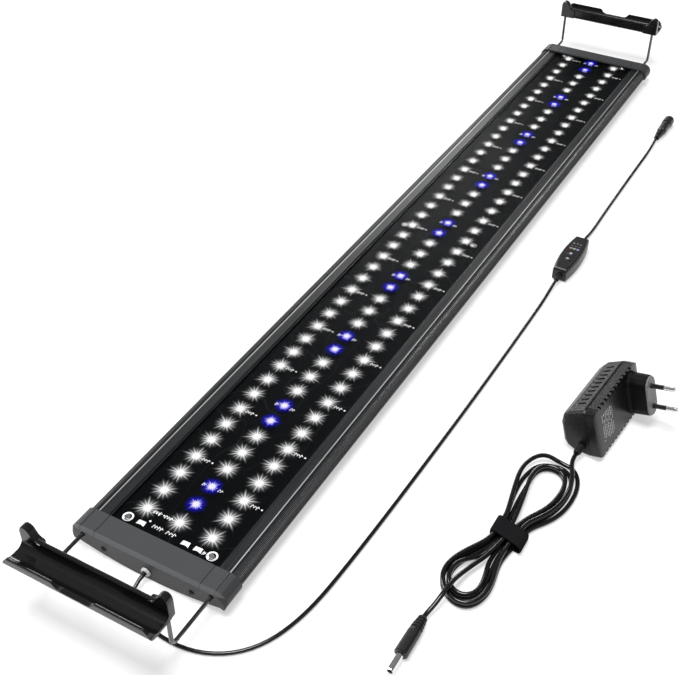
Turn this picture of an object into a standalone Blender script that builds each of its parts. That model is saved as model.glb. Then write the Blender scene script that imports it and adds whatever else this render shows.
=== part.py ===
"""A clip-on LED light for an aquarium, lying on its back with the LEDs facing up.

X runs along the light, from the cord end (-X) to the free end (+X). Y runs across it, and Z points up from
the surface that it lies on. The origin is under the middle of the light with both brackets at rest. Sizes
are in millimetres until add_object turns them into metres.
"""

from math import cos, pi, radians, sin

import bmesh
import bpy
import numpy as np
from mathutils import Matrix, Vector

MM = 0.001
GAP = 0.3  # clearance between touching pieces

# Light body
BODY_NEAR = -433.9  # outer face of the end cap on the cord end
BODY_FAR = 455.2  # outer face of the other end cap
CAP_LENGTH = 19.4
CAP_WALL = 2.6
HALF_WIDTH = 64.5
BELLY_LOW = 1.6  # lowest line of the arched back
BELLY_RISE = 7.2
BELLY_HALF = 61.5
SIDE_RADIUS = 6.0
RIM_TOP = 18.5
LEDGE_TOP = 18.2
WEB_TOP = 14.2
BOARD_TOP = 16.1
BOARD_HALF = 45.8
COVER_HALF = 47.1
COVER_LOW = 17.7
COVER_TOP = 18.15
CAP_TOP = 20.5

# LEDs
LED_PITCH = 19.6
LED_COLUMNS = 43
LED_ROW = 28.0  # distance between the three rows
LED_SIZE = 5.0
LED_TOP = 17.4
FIRST_LED = -394.4
BOARD_SCREW_X = (-407.7, 16.5, 437.6)
BOARD_SCREW_Y = 36.0

# Extending brackets
WIRE_RADIUS = 1.5
WIRE_Y = 54.3
WIRE_Z = 14.9
LEG_X = 476.5  # distance of each upright leg from the middle, at rest
WIRE_END = 292.0
BEND_RADIUS = 5.0
CHANNEL_HALF = 2.55
CLIP_FACE = 473.6
CLIP_DEPTH = 25.2
CLIP_HALF = 59.2
CLIP_LOW = 46.6

# Cord of the light
CORD_RADIUS = 1.5
CORD_Z = 7.8  # height of the cord where it leaves the end cap
CONTROL_X = (24.0, 83.0)
CONTROL_Y = -118.9
CONTROL_HEIGHT = 14.0
CONTROL_CORD_Z = 6.0
BUTTON_X = (42.2, 51.1)
JACK_X = 314.0
JACK_Y = -118.4
JACK_Z = 5.75

# Wall adapter and its cord
LEAD_RADIUS = 1.75
ADAPTER_AT = (-178.0, -231.6, 2.78)
ADAPTER_TURN = -5.2
ADAPTER_LEAN = 16.0
ADAPTER_LENGTH = 79.0
ADAPTER_HEIGHT = 43.0
ADAPTER_DEPTH = 30.0
PLUG_X = -373.2
PLUG_Y = -179.6
PLUG_Z = 4.95
HANK_HEIGHT = 7.8
TIE_AT = (-279.6, -200.2)
TIE_SLANT = 0.24  # how far the tie's sides lean along the light, per millimetre across it
RELIEF_DEPTH = 15.0  # where the lead leaves the adapter: depth in the case, height in the case
RELIEF_HEIGHT = 9.9

# Routes of the cords, by hand: (x, y, z)
CORD_ROUTE = (
    (-412.0, 0.0, CORD_Z),
    (-424.0, 0.0, CORD_Z),
    (-436.5, 0.0, CORD_Z),
    (-442.0, 0.0, 7.4),
    (-448.0, -0.4, 5.6),
    (-454.0, -2.4, 3.2),
    (-459.8, -8.0, 1.8),
    (-464.6, -18.5, 1.6),
    (-467.4, -33.0, 1.6),
    (-468.3, -48.0, 1.6),
    (-466.2, -63.0, 1.6),
    (-459.6, -78.5, 1.6),
    (-449.0, -91.2, 1.6),
    (-435.0, -100.4, 1.6),
    (-418.5, -106.4, 1.6),
    (-400.0, -110.2, 1.6),
    (-366.0, -113.2, 1.6),
    (-310.0, -115.5, 1.6),
    (-240.0, -117.2, 1.6),
    (-165.0, -118.4, 1.6),
    (-90.0, -118.9, 1.6),
    (-30.0, -118.9, 1.7),
    (-8.0, -118.9, 2.8),
    (5.0, -118.9, 4.8),
    (16.0, CONTROL_Y, CONTROL_CORD_Z),
    (26.0, CONTROL_Y, CONTROL_CORD_Z),
)
TAIL_ROUTE = (
    (81.0, CONTROL_Y, CONTROL_CORD_Z),
    (91.0, CONTROL_Y, CONTROL_CORD_Z),
    (101.0, -118.9, 4.6),
    (114.0, -118.6, 2.6),
    (135.0, -118.1, 1.7),
    (180.0, -117.8, 1.6),
    (235.0, -117.9, 1.6),
    (276.0, -118.2, 1.8),
    (292.0, -118.4, 3.0),
    (303.0, -118.4, 4.8),
    (JACK_X, JACK_Y, JACK_Z),
    (JACK_X + 9.0, JACK_Y, JACK_Z),
)
LEAD_ROUTE = (
    (-173.5, -214.8, 8.2),
    (-178.5, -214.35, 8.2),
    (-183.5, -213.9, 8.2),
    (-188.5, -213.4, 8.0),
    (-193.1, -213.0, 7.4),
)
FREE_ROUTE = (
    (-287.2, -198.5, 9.9),
    (-298.0, -196.4, 9.9),
    (-308.9, -193.5, 9.9),
    (-318.0, -190.0, 9.9),
    (-326.5, -187.2, 9.9),
    (-338.4, -185.1, 9.9),
    (-346.0, -184.1, 9.9),
    (-352.8, -183.4, 9.8),
    (-358.0, -182.6, 8.7),
    (-363.5, -181.4, 7.0),
    (-368.5, -180.2, 5.5),
    (PLUG_X, PLUG_Y, PLUG_Z),
    (PLUG_X - 7.0, PLUG_Y, PLUG_Z),
)

# Centre line of the outermost turn of the folded lead, clockwise seen from above: (x, y)
HANK_ROUTE = (
    (-195.1, -205.2),
    (-195.1, -212.0),
    (-198.2, -218.2),
    (-206.5, -223.8),
    (-225.3, -226.7),
    (-245.6, -223.0),
    (-257.0, -216.9),
    (-269.5, -209.8),
    (-277.4, -208.7),
    (-289.0, -206.4),
    (-306.0, -204.4),
    (-318.5, -206.1),
    (-331.0, -207.2),
    (-342.0, -205.0),
    (-348.6, -200.0),
    (-350.4, -194.8),
    (-348.5, -186.6),
    (-341.9, -179.1),
    (-333.2, -174.8),
    (-317.5, -176.3),
    (-300.8, -184.7),
    (-287.3, -190.4),
    (-276.5, -191.2),
    (-265.0, -191.2),
    (-252.0, -189.1),
    (-232.0, -185.2),
    (-216.0, -183.6),
    (-205.0, -186.0),
    (-197.6, -191.0),
    (-194.9, -198.0),
)


# ---------------------------------------------------------------- helpers


def clear_scene():
    for old in list(bpy.data.objects):
        bpy.data.objects.remove(old, do_unlink=True)


def finish(name, color, roughness, metallic=0.0):
    """A plain Principled material."""
    made = bpy.data.materials.new(name)
    made.use_nodes = True
    shader = made.node_tree.nodes["Principled BSDF"]
    shader.inputs["Base Color"].default_value = (*color, 1.0)
    shader.inputs["Roughness"].default_value = roughness
    shader.inputs["Metallic"].default_value = metallic
    return made


def add_object(name, mesh_data, material, origin=(0.0, 0.0, 0.0), smooth=True):
    """Turns a bmesh in millimetres into an object in metres whose own origin is at the given point."""
    bmesh.ops.remove_doubles(mesh_data, verts=mesh_data.verts, dist=0.0005)
    bmesh.ops.recalc_face_normals(mesh_data, faces=mesh_data.faces)
    bmesh.ops.translate(mesh_data, verts=mesh_data.verts, vec=-Vector(origin))
    bmesh.ops.scale(mesh_data, verts=mesh_data.verts, vec=(MM, MM, MM))
    mesh = bpy.data.meshes.new(name)
    mesh_data.to_mesh(mesh)
    mesh_data.free()
    if smooth:
        mesh.shade_smooth()
        mesh.set_sharp_from_angle(angle=radians(32))
    mesh.materials.append(material)
    made = bpy.data.objects.new(name, mesh)
    made.location = Vector(origin) * MM
    bpy.context.scene.collection.objects.link(made)
    return made


def add_empty(name, origin):
    made = bpy.data.objects.new(name, None)
    made.location = Vector(origin) * MM
    bpy.context.scene.collection.objects.link(made)
    return made


def attach(child, parent):
    """Parents a child to an empty and keeps its place."""
    child.parent = parent
    child.location = child.location - parent.location


def place_point(axis, along, u, v):
    """The point (u, v) of an outline, put at a distance along one of the axes."""
    if axis == "X":
        return (along, u, v)
    if axis == "Y":
        return (u, along, v)
    return (u, v, along)


def prism(outline, holes, low, high, axis):
    """An outline with holes, extruded along an axis."""
    shape = bmesh.new()
    edges = []
    for loop in (outline, *holes):
        corners = [shape.verts.new(place_point(axis, low, u, v)) for u, v in loop]
        for first, second in zip(corners, corners[1:] + corners[:1]):
            edges.append(shape.edges.new((first, second)))
    filled = bmesh.ops.triangle_fill(shape, use_beauty=True, edges=edges)
    faces = [piece for piece in filled["geom"] if isinstance(piece, bmesh.types.BMFace)]
    raised = bmesh.ops.extrude_face_region(shape, geom=faces)
    moved = [piece for piece in raised["geom"] if isinstance(piece, bmesh.types.BMVert)]
    bmesh.ops.translate(shape, verts=moved, vec=place_point(axis, high - low, 0.0, 0.0))
    return shape


def loft(loops):
    """A closed solid through loops with equally many points, capped at both ends."""
    shape = bmesh.new()
    rings = [[shape.verts.new(point) for point in loop] for loop in loops]
    count = len(rings[0])
    for lower, upper in zip(rings, rings[1:]):
        for i in range(count):
            j = (i + 1) % count
            shape.faces.new((lower[i], lower[j], upper[j], upper[i]))
    shape.faces.new(list(reversed(rings[0])))
    shape.faces.new(rings[-1])
    return shape


def turned(profile, axis, centre, sides, hollow=False):
    """A turned piece. The profile's points are (along, radius); a hollow profile is a closed loop."""
    shape = bmesh.new()
    rings = []
    for along, radius in profile:
        count = sides if radius > 0.0 else 1
        ring = []
        for i in range(count):
            angle = 2.0 * pi * (i + 0.5) / sides
            u, v = radius * cos(angle), radius * sin(angle)
            ring.append(shape.verts.new(Vector(centre) + Vector(place_point(axis, along, u, v))))
        rings.append(ring)
    pairs = list(zip(rings, rings[1:]))
    if hollow:
        pairs.append((rings[-1], rings[0]))
    for lower, upper in pairs:
        for i in range(sides):
            j = (i + 1) % sides
            corners = [lower[i % len(lower)], lower[j % len(lower)]]
            corners += [upper[j % len(upper)], upper[i % len(upper)]]
            shape.faces.new(list(dict.fromkeys(corners)))
    if not hollow:
        for ring in (rings[0], rings[-1]):
            if len(ring) > 1:
                shape.faces.new(ring)
    return shape


def block(low, high, bevel=0.0, segments=2):
    """A box between two corners, with its edges rounded."""
    shape = bmesh.new()
    bmesh.ops.create_cube(shape, size=1.0)
    size = Vector(high) - Vector(low)
    bmesh.ops.scale(shape, verts=shape.verts, vec=size)
    bmesh.ops.translate(shape, verts=shape.verts, vec=(Vector(low) + Vector(high)) / 2.0)
    if bevel > 0.0:
        bmesh.ops.bevel(
            shape, geom=shape.edges, offset=bevel, offset_type="OFFSET", segments=segments,
            profile=0.5, affect="EDGES",
        )
    return shape


def merged(*shapes):
    """Several separate bmeshes in one, for use as a single cutter."""
    whole = bmesh.new()
    for shape in shapes:
        holder = bpy.data.meshes.new("holder")
        shape.to_mesh(holder)
        shape.free()
        whole.from_mesh(holder)
        bpy.data.meshes.remove(holder)
    return whole


def combine(target, name, shape, operation):
    """Cuts or joins a shape into an object with a Boolean modifier."""
    cutter = add_object(name, shape, target.data.materials[0], smooth=False)
    cutter.hide_render = True
    cutter.display_type = "WIRE"
    boolean = target.modifiers.new(name, "BOOLEAN")
    boolean.operation = operation
    boolean.object = cutter
    boolean.solver = "EXACT"
    return cutter


def circle(u, v, radius, sides):
    return [
        (u + radius * cos(2.0 * pi * (i + 0.5) / sides), v + radius * sin(2.0 * pi * (i + 0.5) / sides))
        for i in range(sides)
    ]


def rectangle(u_low, u_high, v_low, v_high):
    return [(u_low, v_low), (u_high, v_low), (u_high, v_high), (u_low, v_high)]


def mirrored(points):
    """A right-hand half outline, from bottom to top, made whole."""
    return points + [(-u, v) for u, v in reversed(points)]


def smooth_route(points, spacing):
    """Points at even distances on the natural cubic spline through a route's own points."""
    knots = np.array(points, float)
    steps = np.linalg.norm(np.diff(knots, axis=0), axis=1)
    place = np.concatenate([[0.0], np.cumsum(steps)])
    count = len(knots)
    matrix = np.eye(count)
    right = np.zeros((count, 3))
    for i in range(1, count - 1):
        before, after = steps[i - 1], steps[i]
        matrix[i, i - 1 : i + 2] = (before, 2.0 * (before + after), after)
        slope = (knots[i + 1] - knots[i]) / after - (knots[i] - knots[i - 1]) / before
        right[i] = 6.0 * slope
    second = np.linalg.solve(matrix, right)
    dense = []
    for i in range(count - 1):
        width = steps[i]
        for t in np.linspace(0.0, 1.0, 24, endpoint=False):
            a, b = 1.0 - t, t
            curve = a * knots[i] + b * knots[i + 1]
            curve = curve + ((a**3 - a) * second[i] + (b**3 - b) * second[i + 1]) * width**2 / 6.0
            dense.append(curve)
    dense.append(knots[-1])
    dense = np.array(dense)
    travel = np.concatenate([[0.0], np.cumsum(np.linalg.norm(np.diff(dense, axis=0), axis=1))])
    wanted = np.linspace(0.0, travel[-1], max(3, int(travel[-1] / spacing) + 1))
    return np.stack([np.interp(wanted, travel, dense[:, k]) for k in range(3)], axis=1)


def add_tube(name, points, radius, material, origin=(0.0, 0.0, 0.0), resolution=2):
    """A round wire or cord along a line of points, as a bevelled curve."""
    data = bpy.data.curves.new(name, "CURVE")
    data.dimensions = "3D"
    data.bevel_depth = radius * MM
    data.bevel_resolution = resolution
    data.use_fill_caps = True
    spline = data.splines.new("POLY")
    spline.points.add(len(points) - 1)
    for target, point in zip(spline.points, points):
        place = (Vector(point) - Vector(origin)) * MM
        target.co = (*place, 1.0)
    spline.use_smooth = True
    data.materials.append(material)
    made = bpy.data.objects.new(name, data)
    made.location = Vector(origin) * MM
    bpy.context.scene.collection.objects.link(made)
    return made


# ---------------------------------------------------------------- light body


def belly(y, low=BELLY_LOW):
    """Height of the arched back at a distance from the middle."""
    return low + BELLY_RISE * (y / BELLY_HALF) ** 2


def housing_outline():
    """Section of the extrusion: arched back, ribbed round sides, edge beads, ledges and the board recess."""
    half = [(y, belly(y)) for y in (0.0, 12.0, 24.0, 36.0, 46.0, 55.0, BELLY_HALF)]
    centre_y, centre_z = HALF_WIDTH - SIDE_RADIUS, RIM_TOP - 0.2 - SIDE_RADIUS
    ribs = 11
    for i in range(2 * ribs + 1):
        angle = radians(-26.0 + 112.0 * i / (2 * ribs))
        radius = SIDE_RADIUS - (0.32 if i % 2 else 0.0)
        half.append((centre_y + radius * cos(angle), centre_z + radius * sin(angle)))
    half += [(57.9, 18.3), (57.2, 17.8), (56.5, 17.8), (56.1, RIM_TOP), (55.3, RIM_TOP), (55.0, LEDGE_TOP)]
    half += [(48.1, LEDGE_TOP), (47.6, 17.9), (47.4, 17.3), (46.2, 17.3), (46.2, WEB_TOP)]
    return mirrored(half)[1:]


def cavity(low_y, high_y):
    """A hollow between the back and the web under the board."""
    count = 4 if high_y - low_y > 20.0 else 2
    floor = []
    for i in range(count + 1):
        y = low_y + (high_y - low_y) * i / count
        floor.append((y, belly(y) + 1.5))
    return floor + [(high_y, WEB_TOP - 1.6), (low_y, WEB_TOP - 1.6)]


def wire_channel(side):
    return rectangle(
        side * WIRE_Y - CHANNEL_HALF, side * WIRE_Y + CHANNEL_HALF, WIRE_Z - CHANNEL_HALF, WIRE_Z + CHANNEL_HALF
    )


def make_housing(material):
    holes = [cavity(-33.0, 33.0), cavity(41.5, 49.5), cavity(-49.5, -41.5)]
    for side in (-1, 1):
        holes.append(wire_channel(side))
        holes.append(circle(side * 37.3, 8.6, 1.3, 8))
    shape = prism(housing_outline(), holes, BODY_NEAR + CAP_WALL + GAP, BODY_FAR - CAP_WALL - GAP, "X")
    housing = add_object("housing_extrusion", shape, material)
    threads = []
    for x in BOARD_SCREW_X:
        for side in (-1, 1):
            threads.append(prism(circle(x, side * BOARD_SCREW_Y, 1.6, 8), [], 12.2, WEB_TOP + 1.5, "Z"))
    combine(housing, "housing_screw_holes", merged(*threads), "DIFFERENCE")


def led_places():
    for row in (-1, 0, 1):
        for column in range(LED_COLUMNS):
            yield FIRST_LED + column * LED_PITCH, row * LED_ROW


def fill_plane(shape, loops, height):
    """Fills an outline with holes at a height, and gives back the corners of each loop."""
    corners = [[shape.verts.new((u, v, height)) for u, v in loop] for loop in loops]
    edges = []
    for loop in corners:
        for first, second in zip(loop, loop[1:] + loop[:1]):
            edges.append(shape.edges.new((first, second)))
    bmesh.ops.triangle_fill(shape, use_beauty=True, edges=edges)
    return corners


def join_loops(shape, lower, upper):
    """A wall of quads between two loops."""
    for i in range(len(lower)):
        j = (i + 1) % len(lower)
        shape.faces.new((lower[i], lower[j], upper[j], upper[i]))


def make_board(material):
    """The metal-core board with its soldered LED packages standing on it."""
    low, high = BODY_NEAR + CAP_WALL + 2.0, BODY_FAR - CAP_WALL - 2.0
    outline = rectangle(low, high, -BOARD_HALF, BOARD_HALF)
    half = LED_SIZE / 2.0
    squares = [rectangle(x - half, x + half, y - half, y + half) for x, y in led_places()]
    screws = [circle(x, side * BOARD_SCREW_Y, 1.8, 8) for x in BOARD_SCREW_X for side in (-1, 1)]
    shape = bmesh.new()
    under = fill_plane(shape, [outline] + screws, WEB_TOP + GAP)
    over = fill_plane(shape, [outline] + screws + squares, BOARD_TOP)
    for lower, upper in zip(under, over):
        join_loops(shape, lower, upper)
    for corners in over[len(under) :]:
        lid = [shape.verts.new((corner.co.x, corner.co.y, LED_TOP)) for corner in corners]
        join_loops(shape, corners, lid)
        shape.faces.new(lid)
    add_object("led_circuit_board", shape, material, smooth=False)


def make_screw(name, place, head_radius, head_height, shank_radius, shank_length, axis, outward, material):
    """A pan-head screw with a cross recess. Place is the middle of the head's seat."""
    profile = [(-shank_length, 0.0), (-shank_length, shank_radius), (0.0, shank_radius), (0.0, head_radius)]
    profile += [(0.5 * head_height, head_radius), (head_height, 0.66 * head_radius), (head_height, 0.0)]
    profile = [(outward * along, radius) for along, radius in profile]
    screw = add_object(name, turned(profile, axis, place, 8), material)
    slots = []
    for wide, narrow in ((0.6, 0.14), (0.14, 0.6)):
        corners = []
        for sign in (-1, 1):
            along = outward * head_height * (0.62 if sign < 0 else 1.3)
            offset = place_point(axis, along, sign * wide * head_radius, sign * narrow * head_radius)
            corners.append([place[k] + offset[k] for k in range(3)])
        low = [min(pair) for pair in zip(*corners)]
        high = [max(pair) for pair in zip(*corners)]
        slots.append(block(low, high))
    combine(screw, name + "_recess_a", slots[0], "DIFFERENCE")
    combine(screw, name + "_recess_b", slots[1], "DIFFERENCE")


def make_board_screws(material):
    for number, x in enumerate(BOARD_SCREW_X):
        for side, word in ((1, "left"), (-1, "right")):
            place = (x, side * BOARD_SCREW_Y, BOARD_TOP + 0.05)
            make_screw(f"board_screw_{number + 1}_{word}", place, 2.7, 1.2, 1.3, 3.2, "Z", 1, material)


def make_cover(material):
    shape = block(
        (BODY_NEAR + CAP_WALL + 1.0, -COVER_HALF, COVER_LOW), (BODY_FAR - CAP_WALL - 1.0, COVER_HALF, COVER_TOP)
    )
    add_object("clear_splash_cover", shape, material, smooth=False)


def cap_outline(inset, top):
    """Outer section of an end cap: the housing's section with a wall around it."""
    half = [(y, belly(y, 0.0) + 0.12 * inset) for y in (0.0, 12.0, 24.0, 36.0, 46.0, 55.0, 62.0 - inset)]
    radius = SIDE_RADIUS + 1.0
    centre_y = HALF_WIDTH + 1.3 - inset - radius
    for angle in (-24.0, 0.0, 24.0, 48.0, 70.0):
        turn = radians(angle)
        half.append((centre_y + radius * cos(turn), top - 1.1 - radius + (radius + 0.6) * sin(turn)))
    half += [(58.4 - 0.3 * inset, top), (57.5, top), (57.1, top - 0.5), (56.7, top)]
    half += [(45.1, top), (44.7, top - 0.5), (44.3, top)]
    return mirrored(half)[1:]


def cap_space():
    """Inner section of an end cap: a plain outline that clears the housing all round."""
    half = [(y, belly(y) - GAP) for y in (0.0, 12.0, 24.0, 36.0, 46.0, 55.0, BELLY_HALF)]
    centre_y, centre_z = HALF_WIDTH - SIDE_RADIUS, RIM_TOP - 0.2 - SIDE_RADIUS
    radius = SIDE_RADIUS + GAP + 0.05
    for angle in (-26.0, 0.0, 26.0, 52.0, 80.0):
        turn = radians(angle)
        half.append((centre_y + radius * cos(turn), centre_z + radius * sin(turn)))
    half.append((57.0, RIM_TOP + GAP))
    return mirrored(half)[1:]


def make_end_cap(name, end, material):
    """An end cap that sleeves over the extrusion. End is -1 for the cord end and +1 for the other."""
    face = BODY_NEAR if end < 0 else BODY_FAR

    def section(depth, inset, top):
        return [(face - end * depth, y, z) for y, z in cap_outline(inset, top)]

    stations = ((0.0, 1.6, CAP_TOP - 3.3), (0.7, 0.7, CAP_TOP - 1.9), (2.1, 0.0, CAP_TOP), (CAP_LENGTH, 0.0, CAP_TOP))
    cap = add_object(name, loft([section(*station) for station in stations]), material)
    inner, outer = sorted((face - end * CAP_WALL, face - end * (CAP_LENGTH + 5.0)))
    combine(cap, name + "_space", prism(cap_space(), [], inner, outer, "X"), "DIFFERENCE")
    cuts = []
    for side in (-1, 1):
        cuts.append(hole_cutter(face, side * WIRE_Y, WIRE_Z, 1.95))
        cuts.append(hole_cutter(face, side * 37.3, 8.6, 1.6))
    if end < 0:
        cuts.append(hole_cutter(face, 0.0, CORD_Z, 2.9))
    combine(cap, name + "_holes", merged(*cuts), "DIFFERENCE")


def hole_cutter(x, y, z, radius):
    return prism(circle(y, z, radius, 12), [], x - 8.0, x + 8.0, "X")


def make_cap_screws(material):
    for end, word in ((-1, "near"), (1, "far")):
        face = BODY_NEAR if end < 0 else BODY_FAR
        for side, hand in ((1, "left"), (-1, "right")):
            place = (face + end * 0.05, side * 37.3, 8.6)
            make_screw(f"{word}_cap_screw_{hand}", place, 2.3, 1.0, 1.0, 12.0, "X", end, material)


def make_grommet(material):
    """The pale ring that the cord passes through, with a groove that grips the cap's end wall."""
    x, y, z = BODY_NEAR, 0.0, CORD_Z
    profile = [(-1.8, 1.75), (-2.2, 2.5), (-1.6, 3.5), (-0.3, 3.8), (-0.3, 2.6), (CAP_WALL + 0.3, 2.6)]
    profile += [(CAP_WALL + 0.3, 3.3), (CAP_WALL + 1.4, 3.0), (CAP_WALL + 1.4, 1.75)]
    add_object("cord_grommet", turned(profile, "X", (x, y, z), 12, hollow=True), material)


def make_cord_anchor(material):
    """The clamp inside the cap end that keeps a pull on the cord off the board."""
    x = BODY_NEAR + 12.0
    outline = rectangle(-5.0, 5.0, 4.2, 12.0)
    shape = prism(outline, [circle(0.0, CORD_Z, 1.8, 10)], x, x + 6.0, "X")
    add_object("cord_anchor", shape, material)


# ---------------------------------------------------------------- brackets


def wire_points(end, side):
    """Axis of one bracket wire: straight in its channel, a round bend, then up into the clip."""
    y = side * WIRE_Y
    points = [(end * WIRE_END, y, WIRE_Z), (end * (WIRE_END + 60.0), y, WIRE_Z)]
    for i in range(7):
        angle = radians(90.0 * i / 6)
        x = LEG_X - BEND_RADIUS * (1.0 - sin(angle))
        z = WIRE_Z + BEND_RADIUS * (1.0 - cos(angle))
        points.append((end * x, y, z))
    points.append((end * LEG_X, y, 63.0))
    return points


def arc(centre, radii, start, end, count):
    """Points on part of an ellipse, from one angle in degrees to another."""
    points = []
    for i in range(count + 1):
        angle = radians(start + (end - start) * i / count)
        points.append((centre[0] + radii[0] * cos(angle), centre[1] + radii[1] * sin(angle)))
    return points


def clip_profile():
    """Section of the rim channel, as (distance from the face towards the light, height)."""
    wall = [(2.4, 10.2), (2.4, 3.4), (2.9, 1.4), (4.2, 0.3), (6.5, 0.0)]
    lip = [(19.0, 0.0), (22.4, 0.6), (24.4, 2.2), (CLIP_DEPTH, 4.6), (CLIP_DEPTH, 9.2), (24.9, 9.9), (24.1, 10.3), (23.3, 9.9)]
    hollow = arc((15.5, 9.9), (7.5, 7.8), -6.0, -90.0, 14) + arc((11.6, 8.3), (6.0, 6.2), -90.0, -180.0, 15)
    top = [(5.5, 10.4), (5.1, 11.0), (4.4, 11.3), (3.4, 11.3), (2.7, 10.9)]
    return [(u, CLIP_LOW + z) for u, z in wall + lip + hollow + top]


def horn_section(side, shrink):
    """Outline of a horn across the light: a boss for the wire that sweeps up out of the wall."""
    points = [(43.0, 1.0), (43.0, 9.8), (45.2, 10.3), (47.0, 11.2), (48.4, 12.7), (49.6, 14.9), (50.8, 17.2), (52.1, 18.9)]
    points += [(53.8, 20.0), (55.7, 20.2), (57.4, 19.4), (58.6, 17.9), (59.3, 15.5), (59.3, 1.0)]
    return [(side * (52.0 + (y - 52.0) * shrink), CLIP_LOW + 9.0 + (z - 9.0) * shrink) for y, z in points]


def make_horn(side, place):
    stations = ((0.0, 0.94), (0.5, 0.985), (1.2, 1.0), (5.2, 1.0), (5.7, 0.985), (6.1, 0.95))
    return loft([[(place(u), y, z) for y, z in horn_section(side, shrink)] for u, shrink in stations])


def make_clip(name, end, origin, material):
    """The plastic clip that sits on the tank's rim, with a horn at each end for a wire."""

    def place(u):
        return end * (CLIP_FACE + u)

    ring = [[(place(u), y, z) for u, z in clip_profile()] for y in (-CLIP_HALF, CLIP_HALF)]
    clip = add_object(name, loft(ring), material, origin)
    for side in (-1, 1):
        combine(clip, f"{name}_horn_{side + 1}", make_horn(side, place), "UNION")
    sockets = []
    for side in (-1, 1):
        shaft = prism(circle(end * LEG_X, side * WIRE_Y, 1.85, 12), [], CLIP_LOW - 6.0, 63.4, "Z")
        sockets.append(shaft)
    combine(clip, name + "_sockets", merged(*sockets), "DIFFERENCE")
    combine(clip, name + "_scoop", lip_scoop(place), "DIFFERENCE")
    return clip


def lip_scoop(place):
    """Cuts the shallow dip out of the middle of the lip and rounds the lip's two ends."""
    low, high = sorted((place(18.0), place(CLIP_DEPTH + 3.0)))
    top = CLIP_LOW + 16.0
    half = [(18.6, 16.0), (18.6, 10.8), (17.6, 10.2), (16.4, 8.8), (14.9, 6.9), (13.0, 5.7), (10.6, 5.0)]
    dip = mirrored([(y, CLIP_LOW + z) for y, z in reversed(half)])
    shapes = [prism(dip, [], low, high, "X")]
    for side in (-1, 1):
        corner = [(61.0, top), (50.5, top), (50.5, CLIP_LOW + 10.6), (54.4, CLIP_LOW + 9.6), (57.2, CLIP_LOW + 7.0)]
        corner += [(58.6, CLIP_LOW + 3.6), (61.0, CLIP_LOW + 3.2)]
        shapes.append(prism([(side * y, z) for y, z in corner], [], low, high, "X"))
    return merged(*shapes)


def make_bracket(word, end, finishes):
    """One bracket: two wires, their stops, and the clip, all on a sliding empty."""
    origin = (end * LEG_X, 0.0, WIRE_Z)
    slide = add_empty(f"{word}_bracket_slide", origin)
    pieces = [make_clip(f"{word}_rim_clip", end, origin, finishes["clip"])]
    for side, hand in ((1, "left"), (-1, "right")):
        pieces.append(add_tube(f"{word}_wire_{hand}", wire_points(end, side), WIRE_RADIUS, finishes["wire"], origin))
        inner, outer = end * (WIRE_END - 0.5), end * (WIRE_END - 6.5)
        profile = [(inner, 0.0), (inner, 1.9), (inner - end * 0.4, 2.15), (outer, 2.15), (outer, 0.0)]
        stop = turned(profile, "X", (0.0, side * WIRE_Y, WIRE_Z), 10)
        pieces.append(add_object(f"{word}_wire_stop_{hand}", stop, finishes["wire"], origin))
    for piece in pieces:
        attach(piece, slide)


def make_wire_guides(material):
    """Plastic bushes in the ends of the channels, which the wires slide in."""
    for end, word in ((-1, "near"), (1, "far")):
        face = BODY_NEAR if end < 0 else BODY_FAR
        low, high = sorted((face - end * (CAP_WALL + GAP + 0.2), face - end * (CAP_WALL + GAP + 10.2)))
        half = CHANNEL_HALF - GAP
        for side, hand in ((1, "left"), (-1, "right")):
            y = side * WIRE_Y
            outline = rectangle(y - half, y + half, WIRE_Z - half, WIRE_Z + half)
            shape = prism(outline, [circle(y, WIRE_Z, 1.75, 12)], low, high, "X")
            add_object(f"{word}_wire_guide_{hand}", shape, material)


# ---------------------------------------------------------------- inline controller and jack


def control_outline(inset, x_low, x_high):
    """Plan of the controller: a boat shape, widest in the middle, with cut-off ends."""
    middle = (x_low + x_high) / 2.0
    half_length = (x_high - x_low) / 2.0 - inset
    points = []
    for i in range(9):
        t = -1.0 + 2.0 * i / 8
        width = 6.6 + 3.0 * (1.0 - t * t) - inset
        points.append((middle + half_length * t * (1.0 - 0.03 * (1.0 - abs(t))), width))
    lower = [(x, CONTROL_Y - width) for x, width in points]
    upper = [(x, CONTROL_Y + width) for x, width in reversed(points)]
    return lower + upper


def control_shell(z_values):
    x_low, x_high = CONTROL_X
    return loft([[(x, y, z) for x, y in control_outline(inset, x_low, x_high)] for inset, z in z_values])


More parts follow.
